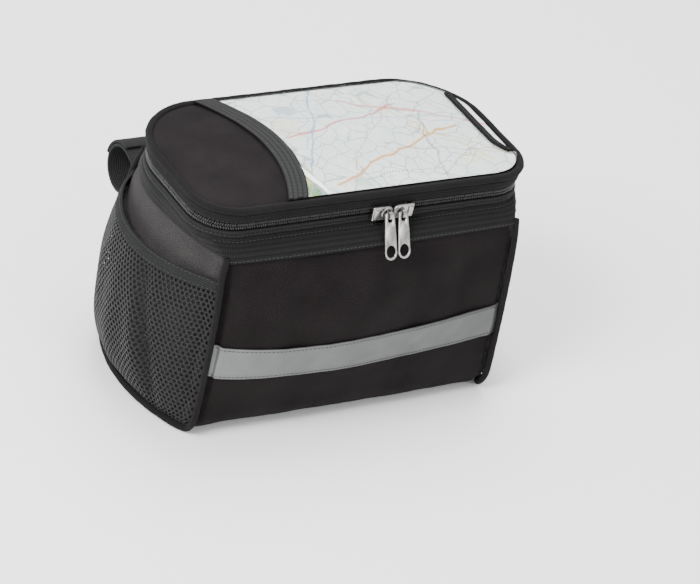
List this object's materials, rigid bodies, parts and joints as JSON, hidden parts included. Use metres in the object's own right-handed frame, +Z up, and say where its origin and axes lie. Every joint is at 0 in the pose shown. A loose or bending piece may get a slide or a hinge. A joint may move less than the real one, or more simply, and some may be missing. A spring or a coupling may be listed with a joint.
{
  "type": "bicycle cooler bag",
  "caption": "Padded box-shaped handlebar bag with a zipped lid, a clear map window, net side pockets, a reflective front strip and bar straps.",
  "frame": {"origin": "centre of the flat base", "axes": "+X along the front, to the right as the viewer faces it; front at -Y, bar straps at +Y; +Z up through the lid"},
  "size_m": [0.2528, 0.1735, 0.1474],
  "materials": {
    "main_fabric": "matte woven polyester",
    "binding": "matte woven binding tape",
    "webbing": "ribbed webbing",
    "elastic": "knitted elastic",
    "reflective": "silver-grey reflective tape",
    "net": "open knitted net",
    "zip_tape": "woven zip tape",
    "zip_teeth": "satin coil",
    "clear_film": "clear soft film",
    "map_paper": "printed paper",
    "satin_metal": "satin nickel plate"
  },
  "bodies": {
    "bag": {"body_wrap": "main_fabric", "side_panel_left": "main_fabric", "side_panel_right": "main_fabric", "piping_left": "binding", "piping_right": "binding", "rim_band": "webbing", "reflective_strip": "reflective", "net_pocket_left": "net", "pocket_band_left": "elastic", "net_pocket_right": "net", "pocket_band_right": "elastic", "zip_tape_lower": "zip_tape", "zip_tape_upper": "zip_tape", "zip_coil": "zip_teeth", "lid_hinge": "main_fabric", "lid_panel": "main_fabric", "lid_binding": "binding", "window_band": "webbing", "map_sheet": "map_paper", "map_window": "clear_film", "mouth_tape": "binding", "slider_left": "satin_metal", "slider_right": "satin_metal", "strap_left": "webbing", "strap_end_left": "webbing", "strap_right": "webbing", "strap_end_right": "webbing"},
    "left_pull": {"pull_left": "satin_metal"},
    "right_pull": {"pull_right": "satin_metal"}
  },
  "joints": [
    {"name": "left_pull_swing", "type": "hinge", "parent": "bag", "child": "left_pull", "pos_m": [0.0073, -0.06085, 0.131], "axis": [-1, 0, 0], "range_deg": [0, 150]},
    {"name": "right_pull_swing", "type": "hinge", "parent": "bag", "child": "right_pull", "pos_m": [0.0161, -0.06085, 0.131], "axis": [-1, 0, 0], "range_deg": [0, 150]}
  ]
}
